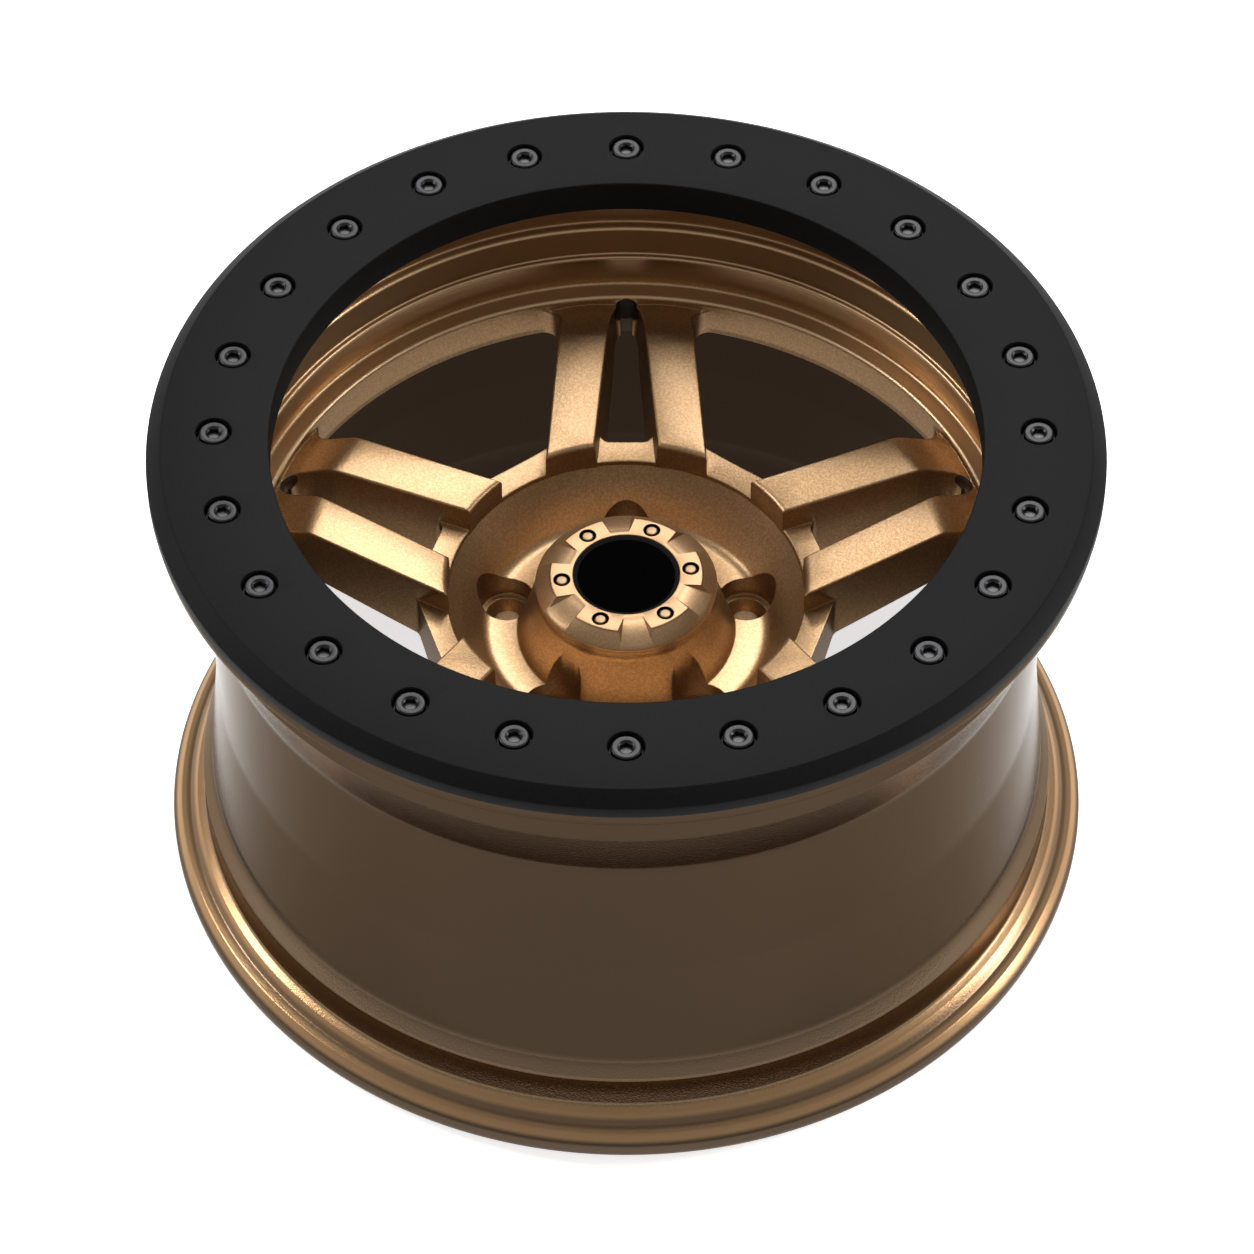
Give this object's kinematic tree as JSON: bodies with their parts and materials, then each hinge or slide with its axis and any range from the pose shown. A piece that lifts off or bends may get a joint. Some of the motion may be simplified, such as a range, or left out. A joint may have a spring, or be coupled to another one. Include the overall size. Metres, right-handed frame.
{
  "type": "beadlock wheel",
  "caption": "Forged off-road wheel with five split spokes, deep rear barrel, bolted black clamp ring at the front and a screwed bronze centre cap.",
  "frame": {"origin": "centre of the plane that the rear lip stands on", "axes": "+Z along the wheel's axis towards its outer face; +Y through the middle of one spoke, the one with the valve hole"},
  "size_m": [0.4712, 0.4712, 0.276],
  "materials": {
    "bronze": "satin bronze powder coat with a clear coat on the barrel",
    "ring_black": "fine matt black powder coat",
    "bolt_steel": "satin black oxide",
    "washer_steel": "black oxide",
    "insert_steel": "plain turned steel",
    "cap_bronze": "satin bronze powder coat",
    "cap_screw": "light bronze, satin",
    "disc_black": "gloss black, bare"
  },
  "bodies": {
    "root": {"wheel": "bronze", "beadlock_ring": "ring_black", "beadlock_bolts": "bolt_steel", "beadlock_washers": "washer_steel", "thread_inserts": "insert_steel", "centre_cap": "cap_bronze", "cap_screws": "cap_screw", "cap_disc": "disc_black"}
  },
  "joints": []
}
